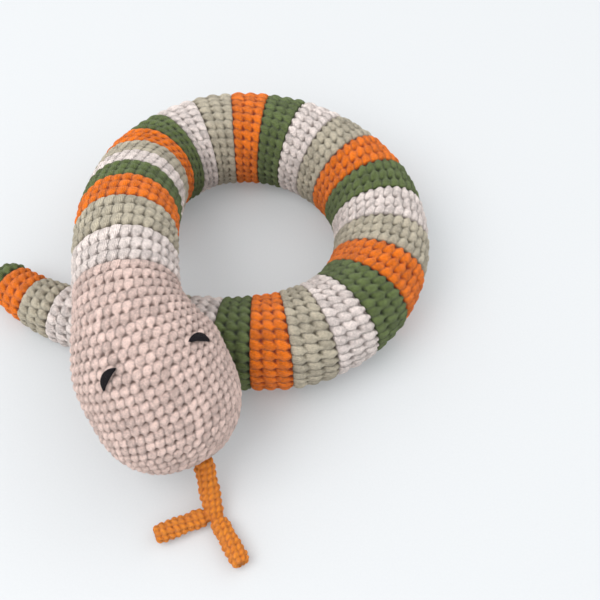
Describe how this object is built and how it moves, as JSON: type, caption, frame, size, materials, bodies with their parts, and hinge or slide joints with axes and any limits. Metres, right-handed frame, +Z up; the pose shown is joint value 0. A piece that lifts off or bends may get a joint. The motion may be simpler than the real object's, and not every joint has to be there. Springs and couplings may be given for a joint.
{
  "type": "crocheted toy snake",
  "caption": "Stuffed crocheted toy snake in colour stripes, lying in a coil with its head over its tail, with embroidered eyes and a forked cord tongue.",
  "frame": {"origin": "middle of the footprint's bounding box, on the surface the snake lies on", "axes": "+Z up; the head points towards -Y and slightly to +X, the tail's tip towards -X"},
  "size_m": [0.2546, 0.2974, 0.1096],
  "materials": {
    "pale_yarn": "crocheted cotton yarn, matt",
    "sage_yarn": "crocheted cotton yarn, matt",
    "orange_yarn": "crocheted cotton yarn, matt",
    "green_yarn": "crocheted cotton yarn, matt",
    "head_yarn": "crocheted cotton yarn, matt",
    "tongue_yarn": "crocheted cotton cord, matt",
    "eye_thread": "embroidered cotton thread, matt",
    "filling": "loose fibre stuffing"
  },
  "bodies": {
    "coil_back": {"stripe_11": "orange_yarn", "stripe_12": "green_yarn", "body_filling_06": "filling"},
    "segment_05": {"stripe_09": "pale_yarn", "stripe_10": "sage_yarn", "body_filling_05": "filling"},
    "segment_04": {"stripe_07": "orange_yarn", "stripe_08": "green_yarn", "body_filling_04": "filling"},
    "segment_03": {"stripe_05": "pale_yarn", "stripe_06": "sage_yarn", "body_filling_03": "filling"},
    "segment_02": {"stripe_03": "orange_yarn", "stripe_04": "green_yarn", "body_filling_02": "filling"},
    "segment_01": {"stripe_01": "pale_yarn", "stripe_02": "sage_yarn", "body_filling_01": "filling"},
    "segment_07": {"stripe_13": "pale_yarn", "stripe_14": "sage_yarn", "body_filling_07": "filling"},
    "segment_08": {"stripe_15": "orange_yarn", "stripe_16": "green_yarn", "body_filling_08": "filling"},
    "segment_09": {"stripe_17": "pale_yarn", "stripe_18": "sage_yarn", "body_filling_09": "filling"},
    "segment_10": {"stripe_19": "orange_yarn", "stripe_20": "green_yarn", "body_filling_10": "filling"},
    "segment_11": {"stripe_21": "pale_yarn", "stripe_22": "sage_yarn", "body_filling_11": "filling"},
    "held_stretch": {"stripe_23": "orange_yarn", "stripe_24": "green_yarn", "body_filling_12": "filling", "stripe_25": "pale_yarn", "stripe_26": "sage_yarn", "body_filling_13": "filling", "stripe_27": "orange_yarn", "stripe_28": "green_yarn", "body_filling_14": "filling"},
    "segment_15": {"stripe_29": "pale_yarn", "stripe_30": "sage_yarn", "body_filling_15": "filling"},
    "segment_16": {"stripe_31": "orange_yarn", "stripe_32": "green_yarn", "body_filling_16": "filling"},
    "head": {"head_cover": "head_yarn", "head_filling": "filling", "eye_left": "eye_thread", "eye_right": "eye_thread"},
    "tongue": {"tongue_stem": "tongue_yarn"},
    "fork_left": {"tongue_fork_left": "tongue_yarn"},
    "fork_right": {"tongue_fork_right": "tongue_yarn"}
  },
  "joints": [
    {"name": "neck_raise", "type": "hinge", "parent": "coil_back", "child": "segment_05", "pos_m": [-0.00748, 0.11708, 0.027], "axis": [-0.0756, 0.9971, 0], "range_deg": [0, 12]},
    {"name": "neck_raise_2", "type": "hinge", "parent": "segment_05", "child": "segment_04", "pos_m": [-0.03428, 0.0923, 0.03213], "axis": [-0.6626, 0.749, 0], "range_deg": [0, 12]},
    {"name": "neck_raise_3", "type": "hinge", "parent": "segment_04", "child": "segment_03", "pos_m": [-0.04013, 0.0591, 0.05016], "axis": [-0.989, 0.1478, 0], "range_deg": [0, 12]},
    {"name": "neck_raise_4", "type": "hinge", "parent": "segment_03", "child": "segment_02", "pos_m": [-0.03977, 0.02598, 0.07092], "axis": [-1, -0.0084, 0], "range_deg": [0, 12]},
    {"name": "head_turn", "type": "hinge", "parent": "segment_02", "child": "segment_01", "pos_m": [-0.03717, -0.00998, 0.08225], "axis": [0, 0, 1], "range_deg": [-14, 2]},
    {"name": "head_nod", "type": "hinge", "parent": "segment_01", "child": "head", "pos_m": [-0.03062, -0.04624, 0.07765], "axis": [-0.9914, -0.1305, 0], "range_deg": [0, 15]},
    {"name": "coil_slide", "type": "hinge", "parent": "coil_back", "child": "segment_07", "pos_m": [0.067, 0.10632, 0.027], "axis": [0, 0, 1], "range_deg": [-8, 8]},
    {"name": "coil_slide_2", "type": "hinge", "parent": "segment_07", "child": "segment_08", "pos_m": [0.09185, 0.07828, 0.027], "axis": [0, 0, 1], "range_deg": [-8, 8]},
    {"name": "coil_slide_3", "type": "hinge", "parent": "segment_08", "child": "segment_09", "pos_m": [0.10031, 0.04186, 0.027], "axis": [0, 0, 1], "range_deg": [-8, 8]},
    {"name": "coil_slide_4", "type": "hinge", "parent": "segment_09", "child": "segment_10", "pos_m": [0.08975, 0.00603, 0.027], "axis": [0, 0, 1], "range_deg": [-8, 8]},
    {"name": "coil_slide_5", "type": "hinge", "parent": "segment_10", "child": "segment_11", "pos_m": [0.06179, -0.01864, 0.027], "axis": [0, 0, 1], "range_deg": [-8, 8]},
    {"name": "coil_slide_6", "type": "hinge", "parent": "segment_11", "child": "held_stretch", "pos_m": [0.02519, -0.02516, 0.02549], "axis": [0, 0, 1], "range_deg": [-8, 8]},
    {"name": "tail_swing", "type": "hinge", "parent": "held_stretch", "child": "segment_15", "pos_m": [-0.07875, -0.0014, 0.01672], "axis": [0, 0, 1], "range_deg": [-18, 18]},
    {"name": "tail_swing_2", "type": "hinge", "parent": "segment_15", "child": "segment_16", "pos_m": [-0.10868, 0.0167, 0.01331], "axis": [0, 0, 1], "range_deg": [-18, 18]},
    {"name": "tongue_swing", "type": "hinge", "parent": "head", "child": "tongue", "pos_m": [0.00363, -0.09876, 0.01723], "axis": [0, 0, 1], "range_deg": [-18, 18]},
    {"name": "fork_spread", "type": "hinge", "parent": "tongue", "child": "fork_left", "pos_m": [0.0127, -0.12523, 0.00507], "axis": [0, 0, 1], "range_deg": [-15, 15]},
    {"name": "fork_spread_2", "type": "hinge", "parent": "tongue", "child": "fork_right", "pos_m": [-0.00145, -0.12049, 0.00507], "axis": [0, 0, 1], "range_deg": [-15, 15]}
  ],
  "couplings": [
    {"joint": "neck_raise_2", "follows": "neck_raise", "ratio": 1},
    {"joint": "neck_raise_3", "follows": "neck_raise", "ratio": 1},
    {"joint": "neck_raise_4", "follows": "neck_raise", "ratio": 1},
    {"joint": "coil_slide_2", "follows": "coil_slide", "ratio": 1},
    {"joint": "coil_slide_3", "follows": "coil_slide", "ratio": 1},
    {"joint": "coil_slide_4", "follows": "coil_slide", "ratio": -1},
    {"joint": "coil_slide_5", "follows": "coil_slide", "ratio": -1},
    {"joint": "coil_slide_6", "follows": "coil_slide", "ratio": -1},
    {"joint": "tail_swing_2", "follows": "tail_swing", "ratio": 1},
    {"joint": "fork_spread_2", "follows": "fork_spread", "ratio": -1}
  ]
}
